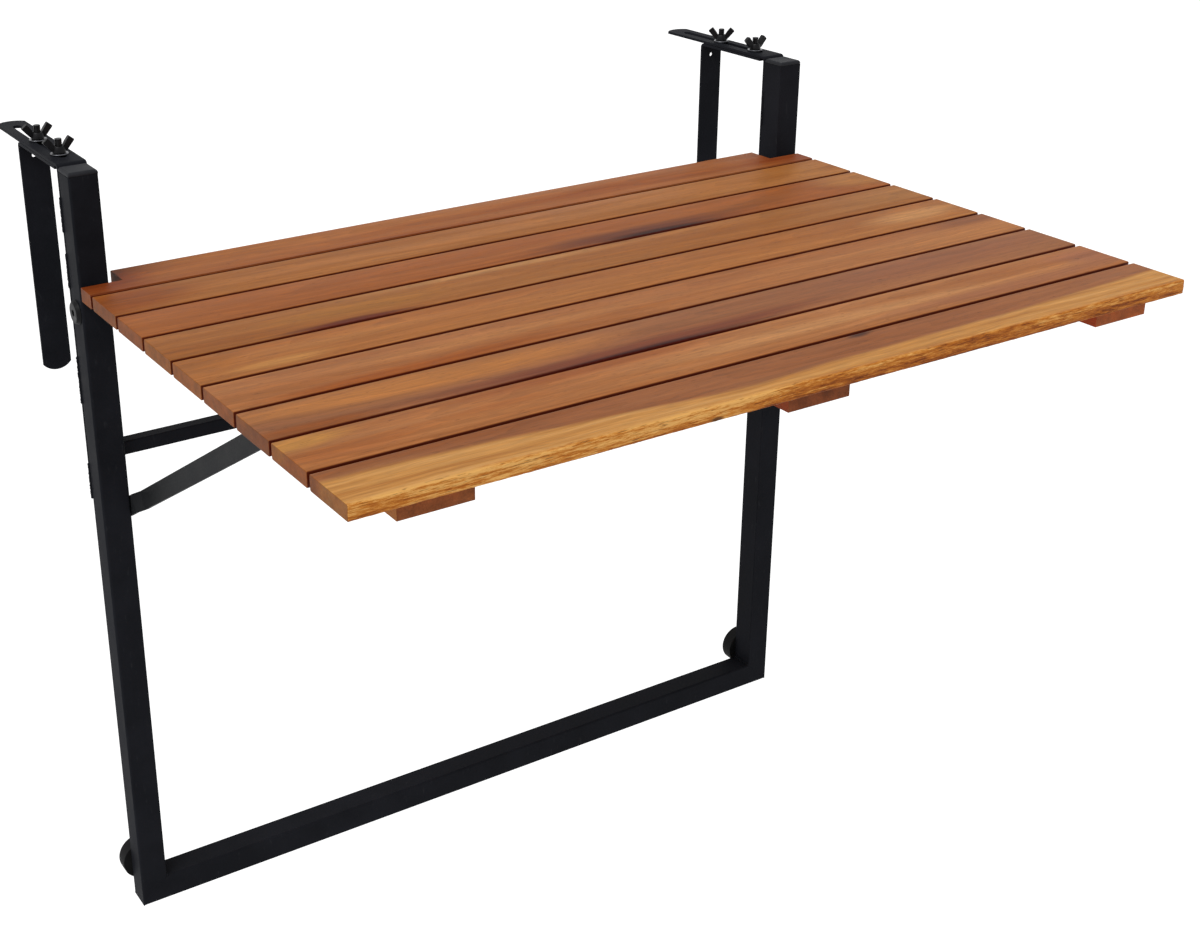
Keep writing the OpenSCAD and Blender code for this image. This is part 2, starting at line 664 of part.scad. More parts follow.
left_post();
right_post();
bottom_bar();
crossbar();
left_post_cap();
right_post_cap();
left_hook_bar();
right_hook_bar();
left_bumper_pad();
right_bumper_pad();
pad_screws();
left_pivot_bolt();
right_pivot_bolt();
pivot_spacers();
pivot_nuts();
brace_studs();
brace_nuts();
left_rail_clamp();
left_clamp_studs();
left_clamp_washers();
right_rail_clamp();
right_clamp_studs();
right_clamp_washers();
left_front_wing_nut();
left_rear_wing_nut();
right_front_wing_nut();
right_rear_wing_nut();
slat_1();
slat_2();
slat_3();
slat_4();
slat_5();
slat_6();
slat_7();
slat_8();
slat_9();
left_batten();
middle_batten();
right_batten();
slat_screws();
left_hinge_bracket();
right_hinge_bracket();
left_brace_catch();
right_brace_catch();
bracket_screws();
left_brace();
left_brace_pin();
right_brace();
right_brace_pin();
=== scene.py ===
import math
import bmesh
import bpy
from mathutils import Matrix, Vector


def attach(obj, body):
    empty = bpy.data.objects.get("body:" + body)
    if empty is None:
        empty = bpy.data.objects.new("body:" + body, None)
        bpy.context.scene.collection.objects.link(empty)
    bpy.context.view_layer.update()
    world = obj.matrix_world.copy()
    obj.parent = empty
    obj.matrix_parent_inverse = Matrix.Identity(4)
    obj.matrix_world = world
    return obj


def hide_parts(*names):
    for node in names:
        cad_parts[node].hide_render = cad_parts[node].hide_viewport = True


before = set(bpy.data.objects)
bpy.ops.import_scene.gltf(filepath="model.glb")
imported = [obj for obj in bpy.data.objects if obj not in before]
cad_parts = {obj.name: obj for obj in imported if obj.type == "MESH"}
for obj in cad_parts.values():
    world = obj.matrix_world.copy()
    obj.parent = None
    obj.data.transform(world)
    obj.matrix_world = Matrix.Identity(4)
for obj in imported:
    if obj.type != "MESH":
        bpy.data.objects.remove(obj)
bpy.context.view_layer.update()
scene = bpy.context.scene
MM = 0.001


# Camera, floor and light

# The camera was solved from the photograph. Its focal length and the picture's width are in pixels, its
# place is in metres, and its turns are in radians about Z, X and Y
FOCAL, PICTURE_W, SENSOR_W = 1757.4, 1200, 36
CAMERA_AT = (-0.63169, -1.07467, 0.29830)
HEADING, TILT, ROLL = -0.54066, -0.39403, 0.01268
camera = bpy.data.objects.new("camera", bpy.data.cameras.new("camera"))
scene.collection.objects.link(camera)
scene.camera = camera
camera.data.sensor_fit = "HORIZONTAL"
camera.data.sensor_width = SENSOR_W
camera.data.lens = FOCAL / PICTURE_W * SENSOR_W
camera.data.shift_x = 0.1
camera.data.shift_y = -0.063
camera.data.clip_start = 0.05
camera.matrix_world = (
    Matrix.Translation(CAMERA_AT) @ Matrix.Rotation(HEADING, 4, "Z") @ Matrix.Rotation(TILT, 4, "X")
    @ Matrix.Rotation(ROLL, 4, "Y") @ Matrix.Rotation(math.radians(90), 4, "X"))
scene.view_settings.view_transform = "Standard"


def colour(hex_code):
    """An sRGB hex value as the linear colour that a node takes."""
    parts = [int(hex_code[i:i + 2], 16) / 255 for i in (1, 3, 5)]
    return (*[c / 12.92 if c <= 0.04045 else ((c + 0.055) / 1.055) ** 2.4 for c in parts], 1)


def add(tree, kind, inputs=None, ramp=None, **settings):
    """Adds one node. inputs maps a socket's name or number to a value or to what links into it."""
    made = tree.nodes.new(kind)
    for key, value in settings.items():
        setattr(made, key, value)
    for key, value in (inputs or {}).items():
        if isinstance(value, bpy.types.NodeSocket):
            tree.links.new(value, made.inputs[key])
        else:
            made.inputs[key].default_value = value
    for i, (at, tone) in enumerate(ramp or []):
        stop = made.color_ramp.elements[i] if i < 2 else made.color_ramp.elements.new(at)
        stop.position, stop.color = at, colour(tone)
    return made


def blank(name):
    """A new material with its tree, its shader and the object's own coordinates."""
    made = bpy.data.materials.new(name)
    made.use_nodes = True
    tree = made.node_tree
    return made, tree, tree.nodes["Principled BSDF"], add(tree, "ShaderNodeTexCoord")


def seen_directly(tree):
    """1 for a ray that comes from the camera, a reflection or a refraction, and 0 for any other."""
    rays = add(tree, "ShaderNodeLightPath").outputs
    seen = add(tree, "ShaderNodeMath", {0: rays["Is Camera Ray"], 1: rays["Is Glossy Ray"]},
               operation="MAXIMUM")
    return add(tree, "ShaderNodeMath", {0: seen.outputs[0], 1: rays["Is Transmission Ray"]},
               operation="MAXIMUM").outputs[0]


world = bpy.data.worlds.new("studio")
scene.world = world
world.use_nodes = True
sky = world.node_tree
sky.nodes.clear()
level = add(sky, "ShaderNodeMapRange", {"Value": seen_directly(sky), "To Min": 0.55, "To Max": 1.0})
studio = add(sky, "ShaderNodeBackground", {"Color": (1, 1, 1, 1), "Strength": level.outputs[0]})
add(sky, "ShaderNodeOutputWorld", {"Surface": studio.outputs[0]})

# One wide soft sun stands to the left, in front and above
TOWARDS_SUN = (-0.62, -0.3, 0.85)
key = bpy.data.objects.new("key_light", bpy.data.lights.new("key_light", "SUN"))
scene.collection.objects.link(key)
key.data.energy = 1.6
key.data.angle = math.radians(35)
key.rotation_euler = Vector(TOWARDS_SUN).to_track_quat("Z", "Y").to_euler()

# The floor lies far enough below for the table to be seen from underneath. Seen directly it is white,
# and it keeps the shadow. Both values are in metres
FLOOR_Z, FLOOR_REACH = -3, 40
corners = [(x * FLOOR_REACH, y * FLOOR_REACH, FLOOR_Z) for x, y in ((-1, -1), (1, -1), (1, 1), (-1, 1))]
floor_mesh = bpy.data.meshes.new("floor")
floor_mesh.from_pydata(corners, [], [(0, 1, 2, 3)])
floor = bpy.data.objects.new("floor", floor_mesh)
scene.collection.objects.link(floor)
pale, tree, shader, coord = blank("pale studio floor")
tree.nodes.remove(shader)
level = add(tree, "ShaderNodeMath", {0: seen_directly(tree), 1: 0.42}, operation="MULTIPLY")
matt = add(tree, "ShaderNodeBsdfDiffuse", {"Color": colour("#e8e8e8")})
glow = add(tree, "ShaderNodeEmission", {"Strength": level.outputs[0]})
both = add(tree, "ShaderNodeAddShader", {0: matt.outputs[0], 1: glow.outputs[0]})
tree.links.new(both.outputs[0], tree.nodes["Material Output"].inputs["Surface"])
floor_mesh.materials.append(pale)


# Finishes

def patchy(tree, coord, scale, detail, stops, rough, roughness=0.5):
    """Cloudy patches that differ in colour and in roughness, as the two sockets."""
    cloud = add(tree, "ShaderNodeTexNoise", {"Vector": coord.outputs["Object"], "Scale": scale,
                                             "Detail": detail, "Roughness": roughness})
    tint = add(tree, "ShaderNodeValToRGB", {"Fac": cloud.outputs["Fac"]}, ramp=stops)
    dull = add(tree, "ShaderNodeMapRange", {"Value": cloud.outputs["Fac"], "From Min": 0.3, "From Max": 0.7,
                                            "To Min": rough[0], "To Max": rough[1]})
    return tint.outputs[0], dull.outputs[0]


def dress(tree, shader, tone, rough, specular, relief, strength, depth):
    """Gives a shader its colour, its roughness, its gloss and a relief with a depth in mm."""
    bump = add(tree, "ShaderNodeBump", {"Height": relief, "Strength": strength, "Distance": depth * MM})
    for socket, value in (("Base Color", tone), ("Roughness", rough), ("Normal", bump.outputs[0])):
        tree.links.new(value, shader.inputs[socket])
    shader.inputs["Specular IOR Level"].default_value = specular


def powder_coat(name, tone, light_tone, rough, specular):
    """Polyester powder, sprayed dry on steel and baked: satin, with a fine orange peel and a little
    pale dust that dulls it in patches."""
    made, tree, shader, coord = blank(name)
    tint, dull = patchy(tree, coord, 22.0, 4.0, [(0.36, tone), (0.72, light_tone)],
                        (rough - 0.05, rough + 0.1), 0.62)
    # Dust and rub marks, 3 mm wide and a centimetre high
    rubs = add(tree, "ShaderNodeMapping", {"Vector": coord.outputs["Object"], "Scale": (380, 380, 90)})
    rubs = add(tree, "ShaderNodeTexNoise", {"Vector": rubs.outputs[0], "Scale": 1.0, "Detail": 2.0})
    marks = add(tree, "ShaderNodeMapRange", {"Value": rubs.outputs["Fac"], "From Min": 0.66,
                                             "From Max": 0.82, "To Max": 0.35})
    body = add(tree, "ShaderNodeMix", {0: marks.outputs[0], 6: tint, 7: colour("#38393c")},
               data_type="RGBA")
    # The peel's cells are 1.4 mm across
    peel = add(tree, "ShaderNodeTexNoise", {"Vector": coord.outputs["Object"], "Scale": 700.0,
                                            "Detail": 1.0})
    dress(tree, shader, body.outputs[2], dull, specular, peel.outputs["Fac"], 0.22, 0.3)
    return made


def metal(name, tone, light_tone, rough, grain_mm, metallic=1.0, specular=0.5):
    """Plated steel: fine grain from the bath, with duller and brighter patches."""
    made, tree, shader, coord = blank(name)
    tint, dull = patchy(tree, coord, 160.0, 5.0, [(0.32, tone), (0.7, light_tone)],
                        (rough + 0.1, rough - 0.06))
    shader.inputs["Metallic"].default_value = metallic
    grain = add(tree, "ShaderNodeTexNoise", {"Vector": coord.outputs["Object"],
                                             "Scale": 1 / (grain_mm * MM), "Detail": 2.0})
    dress(tree, shader, tint, dull, specular, grain.outputs["Fac"], 0.25, 0.2)
    return made


def moulded(name, tone, light_tone, rough, grain_mm, depth, specular=0.4):
    """Moulded plastic or rubber: even colour, a spark-eroded grain and a faint bloom."""
    made, tree, shader, coord = blank(name)
    tint, dull = patchy(tree, coord, 70.0, 3.0, [(0.35, tone), (0.75, light_tone)],
                        (rough - 0.05, rough + 0.08))
    grain = add(tree, "ShaderNodeTexVoronoi", {"Vector": coord.outputs["Object"],
                                               "Scale": 1 / (grain_mm * MM)})
    dress(tree, shader, tint, dull, specular, grain.outputs["Distance"], 0.3, depth)
    return made


# Satin black powder coat on the tube and flat bar: near black in front, grey where light grazes it
frame_coat = powder_coat("satin black powder coat", "#18191d", "#202126", 0.52, 0.02)
# The braces are the same coat on rolled flat bar, a little greyer and duller
brace_coat = powder_coat("satin black powder coat on flat bar", "#1a1b1c", "#222325", 0.52, 0.06)
# Black zinc: thin and dark with a soft metallic gleam on its rounded edges
black_zinc = metal("black zinc plate", "#0e0e10", "#1a1a1c", 0.36, 0.5, metallic=0.4, specular=0.2)
# On the bolt heads the plate is duller, and they stay black at a low angle
bolt_zinc = metal("black zinc plate on bolts", "#0b0b0c", "#151516", 0.44, 0.5, metallic=0.1,
                  specular=0.12)
# The washers' black zinc is drawn as a smooth pale grey metal all over: the grey is a painted highlight, so
# that their thin rims catch the light brightly
washer_metal_with_painted_glint = metal("black zinc plate on washers", "#55565a", "#77787c", 0.3, 0.5)
# Bright zinc: pale blue-grey, brushed dull by handling
zinc = metal("bright zinc plate", "#8d9297", "#b3b7ba", 0.34, 0.6)
# Polyethylene caps: charcoal with a fine moulded grain, a little paler than the coat
cap_plastic = moulded("moulded polyethylene", "#1d1e22", "#27282c", 0.55, 0.5, 0.05, specular=0.12)
# Rubber pads: black, quite dull, with a fine grain and a faint grey bloom
rubber = moulded("moulded rubber", "#0c0c0d", "#171717", 0.7, 0.6, 0.08, specular=0.12)
# The nylon ring of a lock nut: milky and waxy
nylon = moulded("nylon", "#b9bcc0", "#cfd2d4", 0.45, 0.7, 0.04)


def torn_front(tree, tone, at, here, drift, facing, veil, shade):
    """The front slat's edge, left as it grew: splintered gold sapwood, paler upwards and to the left,
    with dark splits and one small knot. Behind it, on the top, lies a band of smoother sapwood."""
    _, y0, z0, half = at
    front_y = y0 - half
    # The torn wood begins on the top, 4.5 mm behind the arris
    place = add(tree, "ShaderNodeSeparateXYZ", {0: here})
    front = add(tree, "ShaderNodeMapRange", {"Value": facing.outputs["Y"], "From Min": -0.2,
                                             "From Max": -0.7})
    brink = add(tree, "ShaderNodeMapRange", {"Value": place.outputs["Y"], "From Min": (front_y + 4.5) * MM,
                                             "From Max": (front_y + 1) * MM, "To Max": 0.7})
    front = add(tree, "ShaderNodeMath", {0: front.outputs[0], 1: brink.outputs[0]}, operation="MAXIMUM")
    split = add(tree, "ShaderNodeMapping", {"Vector": here, "Scale": (130, 1000, 1300)})
    split = add(tree, "ShaderNodeTexNoise", {"Vector": split.outputs[0], "Scale": 1.0, "Detail": 5.0,
                                             "Roughness": 0.8})
    split = add(tree, "ShaderNodeMapRange", {"Value": split.outputs["Fac"], "From Min": 0.3,
                                             "From Max": 0.7, "To Min": 0.12, "To Max": 0.88})
    rise = add(tree, "ShaderNodeMapRange", {"Value": place.outputs["Z"], "From Min": (z0 - 10) * MM,
                                            "From Max": z0 * MM, "To Min": -0.24, "To Max": 0.12})
    left = add(tree, "ShaderNodeMapRange", {"Value": place.outputs["X"], "From Min": -0.08,
                                            "From Max": 0.02, "To Min": 0.27, "To Max": -0.02})
    rise = add(tree, "ShaderNodeMath", {0: rise.outputs[0], 1: left.outputs[0]}, operation="ADD")
    # Splinters 3 cm long and 2 mm high, with painted light and shade: lighter where they stand out, darker
    # where they lie back
    splinter_light_and_shade = add(tree, "ShaderNodeMapping", {"Vector": here, "Scale": (32, 300, 520)})
    splinter_light_and_shade = add(tree, "ShaderNodeTexNoise", {"Vector": splinter_light_and_shade.outputs[0], "Scale": 1.0, "Detail": 2.0})
    splinter_light_and_shade = add(tree, "ShaderNodeMapRange", {"Value": splinter_light_and_shade.outputs["Fac"], "From Min": 0.3,
                                              "From Max": 0.7, "To Min": -0.26, "To Max": 0.26})
    rise = add(tree, "ShaderNodeMath", {0: rise.outputs[0], 1: splinter_light_and_shade.outputs[0]}, operation="ADD")
    rise = add(tree, "ShaderNodeMath", {0: rise.outputs[0], 1: split.outputs[0]}, operation="ADD")
    bark = add(tree, "ShaderNodeValToRGB", {"Fac": rise.outputs[0]},
               ramp=[(0.1, "#6f340d"), (0.34, "#a55a1b"), (0.62, "#c77c2e"), (0.9, "#e9b063")])
    cracks = add(tree, "ShaderNodeMapping", {"Vector": here, "Scale": (110, 400, 1500)})
    cracks = add(tree, "ShaderNodeTexNoise", {"Vector": cracks.outputs[0], "Scale": 1.0, "Detail": 3.0})
    cracks = add(tree, "ShaderNodeMapRange", {"Value": cracks.outputs["Fac"], "From Min": 0.6,
                                              "From Max": 0.68, "To Max": 0.65})
    bark = add(tree, "ShaderNodeMix", {0: cracks.outputs[0], 6: bark.outputs[0], 7: colour("#5a280b")},
               data_type="RGBA")
    knot = add(tree, "ShaderNodeMapping", {
        "Vector": here, "Location": (-0.077, front_y * MM, (z0 - 8.2) * MM),
        "Scale": (0.0055, 0.006, 0.0018)}, vector_type="TEXTURE")
    knot = add(tree, "ShaderNodeTexGradient", {"Vector": knot.outputs[0]}, gradient_type="SPHERICAL")
    knot = add(tree, "ShaderNodeMapRange", {"Value": knot.outputs["Fac"], "From Max": 0.5, "To Max": 0.85})
    bark = add(tree, "ShaderNodeMix", {0: knot.outputs[0], 6: bark.outputs[2], 7: colour("#3f2317")},
               data_type="RGBA")
    # The border of the band with the brown heartwood wavers, and is nearest to the front in the middle
    drifted = add(tree, "ShaderNodeSeparateXYZ", {0: drift.outputs[0]})
    border = add(tree, "ShaderNodeMapRange", {"Value": drifted.outputs["X"], "From Min": -0.3,
                                              "From Max": -0.05, "To Min": 11, "To Max": -5})
    back = add(tree, "ShaderNodeMapRange", {"Value": drifted.outputs["X"], "From Min": 0.16,
                                            "From Max": 0.3, "To Max": 9})
    border = add(tree, "ShaderNodeMath", {0: border.outputs[0], 1: back.outputs[0]}, operation="ADD")
    border = add(tree, "ShaderNodeMath", {0: border.outputs[0], 1: MM, 2: y0 * MM},
                 operation="MULTIPLY_ADD")
    inside = add(tree, "ShaderNodeMath", {0: border.outputs[0], 1: drifted.outputs["Y"]},
                 operation="SUBTRACT")
    inside = add(tree, "ShaderNodeMapRange", {"Value": inside.outputs[0], "From Min": -0.0025,
                                              "From Max": 0.003, "To Max": 0.94},
                 interpolation_type="SMOOTHSTEP")
    pale = add(tree, "ShaderNodeValToRGB", {"Fac": veil.outputs["Fac"]},
               ramp=[(0.3, "#b07334"), (0.72, "#d19a58"), (0.5, "#c48944")])
    pale = add(tree, "ShaderNodeMix", {0: 1.0, 6: pale.outputs[0], 7: shade.outputs[0]}, data_type="RGBA",
               blend_type="MULTIPLY")
    tone = add(tree, "ShaderNodeMix", {0: inside.outputs[0], 6: tone, 7: pale.outputs[2]},
               data_type="RGBA").outputs[2]
    return add(tree, "ShaderNodeMix", {0: front.outputs[0], 6: tone, 7: bark.outputs[2]},
               data_type="RGBA").outputs[2]


# The default tone of the faces towards the front, a dark red, is painted shade for the gaps between the
# slats
def acacia(name, tones, at, shift, end_tone, streaks=(), torn=False, edge_tone_and_groove_shade="#4a0b00",
           crosswise=False):
    """Oiled acacia, sawn flat and planed: heartwood from honey to plum with gold sapwood, long soft
    streaks, close growth rings, fine fibres and short dark pores.
    at is the middle of the piece's top and its half width, in mm, and shift sets its pattern apart.
    A streak is (x, share of the half width towards the rear, half length in mm, half width share, hex,
    strength). A crosswise piece is cut along Y, so its pattern and at are turned a quarter: first minus
    y, then x."""
    made, tree, shader, coord = blank(name)
    x0, y0, z0, half = at
    here, outwards = coord.outputs["Object"], coord.outputs["Normal"]
    if crosswise:
        here, outwards = [add(tree, "ShaderNodeMapping", {
            "Vector": v, "Rotation": (0, 0, math.radians(90))}).outputs[0] for v in (here, outwards)]
    # Wander: the grain drifts a few millimetres over a hand's length
    slow = add(tree, "ShaderNodeMapping", {"Vector": here, "Location": (shift, shift * 1.7, 0),
                                           "Scale": (5, 30, 30)})
    slow = add(tree, "ShaderNodeTexNoise", {"Vector": slow.outputs[0], "Scale": 1.0, "Detail": 2.5})
    drift = add(tree, "ShaderNodeVectorMath", {0: slow.outputs["Color"], 1: (0.5, 0.5, 0.5)},
                operation="SUBTRACT")
    drift = add(tree, "ShaderNodeVectorMath", {0: drift.outputs[0], 1: (0.08, 0.016, 0.012), 2: here},
                operation="MULTIPLY_ADD")
    # Broad tone: bands a third of the slat wide and a third of a metre long
    broad = add(tree, "ShaderNodeMapping", {"Vector": drift.outputs[0], "Scale": (3.2, 62, 62),
                                            "Location": (shift * 3, shift, shift)})
    broad = add(tree, "ShaderNodeTexNoise", {"Vector": broad.outputs[0], "Scale": 1.0, "Detail": 4.0,
                                             "Roughness": 0.55})
    wood = add(tree, "ShaderNodeValToRGB", {"Fac": broad.outputs["Fac"]},
               ramp=[(0.3, tones[0]), (0.7, tones[2]), (0.5, tones[1])])
    tone = wood.outputs[0]
    for sx, sv, sl, sw, hexed, strength in streaks:
        spot = add(tree, "ShaderNodeMapping", {
            "Vector": drift.outputs[0],
            "Location": ((x0 + sx) * MM, (y0 + sv * half) * MM, z0 * MM),
            "Scale": (sl * MM, sw * half * MM, 14 * MM)}, vector_type="TEXTURE")
        spot = add(tree, "ShaderNodeTexGradient", {"Vector": spot.outputs[0]}, gradient_type="SPHERICAL")
        spot = add(tree, "ShaderNodeMapRange", {"Value": spot.outputs["Fac"], "From Max": 0.75,
                                                "To Max": strength}, interpolation_type="SMOOTHSTEP")
        tone = add(tree, "ShaderNodeMix", {0: spot.outputs[0], 6: tone, 7: colour(hexed)},
                   data_type="RGBA").outputs[2]
    # Growth rings 2.6 mm apart round an axis 45 mm below the slat, so that the tops show long flames
    rings = add(tree, "ShaderNodeMapping", {
        "Vector": drift.outputs[0],
        "Location": (0, -y0 * MM + 0.012 * math.sin(shift * 9), -z0 * MM + 0.045),
        "Rotation": (0, 0.02, 0.03 * math.sin(shift * 5))})
    rings = add(tree, "ShaderNodeTexWave", {"Vector": rings.outputs[0], "Scale": 120.0, "Distortion": 1.4,
                                            "Detail": 2.0, "Detail Scale": 0.4},
                wave_type="RINGS", rings_direction="X", wave_profile="SAW")
    # Soft streaks 4 mm wide and a hand long
    veil = add(tree, "ShaderNodeMapping", {"Vector": drift.outputs[0], "Location": (shift, 0, shift),
                                           "Scale": (8, 240, 240)})
    veil = add(tree, "ShaderNodeTexNoise", {"Vector": veil.outputs[0], "Scale": 1.0, "Detail": 3.0})
    # Fibres, really 0.2 mm across, drawn at 1 mm so that they show
    fibre = add(tree, "ShaderNodeMapping", {"Vector": drift.outputs[0], "Scale": (60, 1000, 1000)})
    fibre = add(tree, "ShaderNodeTexNoise", {"Vector": fibre.outputs[0], "Scale": 1.0, "Detail": 3.0,
                                             "Roughness": 0.65})
    # The three shade the tone, each between the share where it is lowest and where it is highest
    for texture, low, high, at_low, at_high in (
            (rings, 0, 1, 1.05, 0.91), (veil, 0.3, 0.7, 0.89, 1.1), (fibre, 0.25, 0.75, 0.76, 1.22)):
        shade = add(tree, "ShaderNodeMapRange", {"Value": texture.outputs["Fac"], "From Min": low,
                                                 "From Max": high, "To Min": at_low, "To Max": at_high})
        tone = add(tree, "ShaderNodeMix", {0: 1.0, 6: tone, 7: shade.outputs[0]}, data_type="RGBA",
                   blend_type="MULTIPLY").outputs[2]
    # Pores: dark dashes 7 mm long and under a millimetre wide
    pores = add(tree, "ShaderNodeMapping", {"Vector": here, "Location": (shift, 0, 0),
                                            "Scale": (150, 1300, 1300)})
    pores = add(tree, "ShaderNodeTexNoise", {"Vector": pores.outputs[0], "Scale": 1.0, "Detail": 1.0})
    pores = add(tree, "ShaderNodeMapRange", {"Value": pores.outputs["Fac"], "From Min": 0.66,
                                             "From Max": 0.78, "To Max": 0.55})
    tone = add(tree, "ShaderNodeMix", {0: pores.outputs[0], 6: tone, 7: colour("#4a2413")},
               data_type="RGBA").outputs[2]
    # Faces towards the front (towards the left on a crosswise batten) take a tone of their own. On the
    # slats it is a dark red painted shade for the gaps between them; on the battens it is the sawn side's
    # own colour.
    # End grain drinks more oil: darker and redder
    facing = add(tree, "ShaderNodeSeparateXYZ", {0: outwards})
    edge = add(tree, "ShaderNodeMapRange", {"Value": facing.outputs["Y"], "From Min": -0.5,
                                            "From Max": -0.9, "To Max": 0.95})
    specks = add(tree, "ShaderNodeMix", {0: 1.0, 6: colour(edge_tone_and_groove_shade), 7: shade.outputs[0]},
                 data_type="RGBA", blend_type="MULTIPLY")
    tone = add(tree, "ShaderNodeMix", {0: edge.outputs[0], 6: tone, 7: specks.outputs[2]},
               data_type="RGBA").outputs[2]
    height = add(tree, "ShaderNodeMath", {0: fibre.outputs["Fac"], 1: pores.outputs[0]},
                 operation="SUBTRACT")
    if torn:
        tone = torn_front(tree, tone, at, here, drift, facing, veil, shade)
    end = add(tree, "ShaderNodeMath", {0: facing.outputs["X"]}, operation="ABSOLUTE")
    end = add(tree, "ShaderNodeMapRange", {"Value": end.outputs[0], "From Min": 0.6, "From Max": 0.95,
                                           "To Max": 0.75})
    specks = add(tree, "ShaderNodeMix", {0: 1.0, 6: colour(end_tone), 7: shade.outputs[0]},
                 data_type="RGBA", blend_type="MULTIPLY")
    # End grain drinks unevenly, in patches a centimetre across
    thirst = add(tree, "ShaderNodeMapping", {"Vector": here, "Location": (shift, 0, shift),
                                             "Scale": (40, 110, 130)})
    thirst = add(tree, "ShaderNodeTexNoise", {"Vector": thirst.outputs[0], "Scale": 1.0, "Detail": 3.0,
                                              "Roughness": 0.6})
    thirst = add(tree, "ShaderNodeMapRange", {"Value": thirst.outputs["Fac"], "From Min": 0.33,
                                              "From Max": 0.67, "To Min": 0.62, "To Max": 1.3})
    specks = add(tree, "ShaderNodeMix", {0: 1.0, 6: specks.outputs[2], 7: thirst.outputs[0]},
                 data_type="RGBA", blend_type="MULTIPLY")
    tone = add(tree, "ShaderNodeMix", {0: end.outputs[0], 6: tone, 7: specks.outputs[2]},
               data_type="RGBA").outputs[2]
    matt = add(tree, "ShaderNodeMapRange", {"Value": fibre.outputs["Fac"], "From Min": 0.3, "From Max": 0.7,
                                            "To Min": 0.5, "To Max": 0.62})
    dress(tree, shader, tone, matt.outputs[0], 0.12, height.outputs[0], 0.35, 0.3)
    return made


# Making pieces

def link_piece(name, mesh, body, nodes, material=None):
    """Puts a finished mesh in the scene as a piece that rides on a body and stands for its CAD nodes."""
    made = bpy.data.objects.new(name, mesh)
    scene.collection.objects.link(made)
    if material:
        mesh.materials.clear()
        mesh.materials.append(material)
    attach(made, body)
    if nodes:
        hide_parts(*nodes)


def settle(source, name):
    """The source's shape with its modifiers applied, as a plain mesh. The source goes."""
    scene.collection.objects.link(source)
    bpy.context.view_layer.update()
    shape = source.evaluated_get(bpy.context.evaluated_depsgraph_get())
    mesh = bpy.data.meshes.new_from_object(shape)
    mesh.name = name
    source.modifiers.clear()
    bpy.data.objects.remove(source)
    return mesh


# Edges where the faces turn by more than this are arrises. Flatter ones belong to a curved face
ARRIS = math.radians(28)


def softened(name, node, body, material, width, segments, along=None, rest=1.0):
    """Copies a CAD node with its arrises rounded, as rolled tube, flat bar and plated parts have. Where
    an axis is given, long edges along it get the whole width in mm, and the others the share rest."""
    shape = bmesh.new()
    shape.from_mesh(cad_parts[node].data)
    bmesh.ops.remove_doubles(shape, verts=shape.verts, dist=1e-6)
    bmesh.ops.dissolve_limit(shape, angle_limit=math.radians(0.5), verts=shape.verts, edges=shape.edges)
    weight = shape.edges.layers.float.new("bevel_weight_edge")
    for e in shape.edges:
        if len(e.link_faces) != 2 or e.calc_face_angle(0) < ARRIS:
            continue
        run = e.verts[1].co - e.verts[0].co
        long = along is None or (abs(run[along]) > 0.95 * run.length and run.length > 0.05)
        e[weight] = 1.0 if long else rest
    mesh = bpy.data.meshes.new(name)
    shape.to_mesh(mesh)
    shape.free()
    source = bpy.data.objects.new(name, mesh)
    bevel = source.modifiers.new("arris", "BEVEL")
    bevel.limit_method = "WEIGHT"
    bevel.width = width * MM
    bevel.segments = segments
    bevel.harden_normals = True
    for p in mesh.polygons:
        p.use_smooth = True
    mesh.set_sharp_from_angle(angle=ARRIS)
    link_piece(name, settle(source, name), body, [node], material)


def new_tree(name, sizes):
    """A node tree for a shape, with a geometry input and a named input for each size."""
    tree = bpy.data.node_groups.new(name, "GeometryNodeTree")
    tree.interface.new_socket("Geometry", in_out="INPUT", socket_type="NodeSocketGeometry")
    for label, kind in sizes.items():
        tree.interface.new_socket(label, in_out="INPUT", socket_type="NodeSocket" + kind)
    tree.interface.new_socket("Geometry", in_out="OUTPUT", socket_type="NodeSocketGeometry")
    return tree, tree.nodes.new("NodeGroupInput").outputs, tree.nodes.new("NodeGroupOutput")


def finish_tree(tree, shape, inputs, out):
    """Ends a tree: realises the instances and sets the material."""
    shape = add(tree, "GeometryNodeRealizeInstances", {0: shape})
    shape = add(tree, "GeometryNodeSetShadeSmooth", {"Geometry": shape.outputs[0]})
    shape = add(tree, "GeometryNodeSetMaterial", {"Geometry": shape.outputs[0],
                                                  "Material": inputs["Material"]})
    tree.links.new(shape.outputs[0], out.inputs[0])


def grow(name, tree, points, edges=(), bevel=0, **values):
    """Runs a tree on points or lines given in mm and keeps the result as a plain mesh."""
    mesh = bpy.data.meshes.new(name)
    mesh.from_pydata([[c * MM for c in p] for p in points], list(edges), [])
    source = bpy.data.objects.new(name, mesh)
    modifier = source.modifiers.new("grow", "NODES")
    modifier.node_group = tree
    for item in tree.interface.items_tree:
        if item.in_out == "INPUT" and item.name in values:
            modifier[item.identifier] = values[item.name]
    if bevel:
        arris = source.modifiers.new("arris", "BEVEL")
        arris.width, arris.segments, arris.angle_limit = bevel * MM, 2, math.radians(50)
        arris.harden_normals = True
    return settle(source, name)


